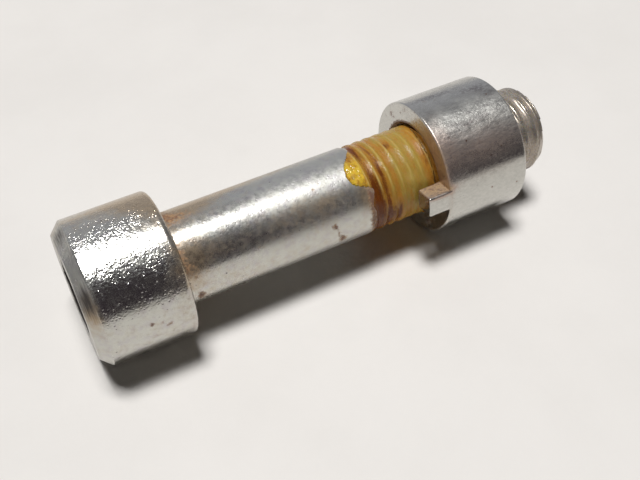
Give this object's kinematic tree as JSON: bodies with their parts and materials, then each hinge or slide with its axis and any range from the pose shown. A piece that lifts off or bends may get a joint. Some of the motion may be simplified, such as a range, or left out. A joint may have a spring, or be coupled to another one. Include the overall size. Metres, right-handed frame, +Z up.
{
  "type": "saddle clamp bolt",
  "caption": "Round-headed bolt with a hexagon key socket, a plain shank and a threaded end, carrying a round nut whose key tab stops it turning in a clamp.",
  "frame": {"origin": "on the bolt's axis, in the plane of the seat under the head", "axes": "+X along the bolt from the head to the nut; +Z up as the bolt lies on its side on a table"},
  "size_m": [0.0433, 0.0122, 0.0122],
  "materials": {
    "bolt": "pitted bright plating, with old grease and rust on the thread",
    "nut": "dull scratched plating"
  },
  "bodies": {
    "bolt": {"bolt": "bolt"},
    "nut": {"nut": "nut"}
  },
  "joints": [
    {"name": "nut_travel", "type": "slide", "parent": "bolt", "child": "nut", "axis": [1, 0, 0], "range_m": [-0.006, 0.0095]}
  ]
}
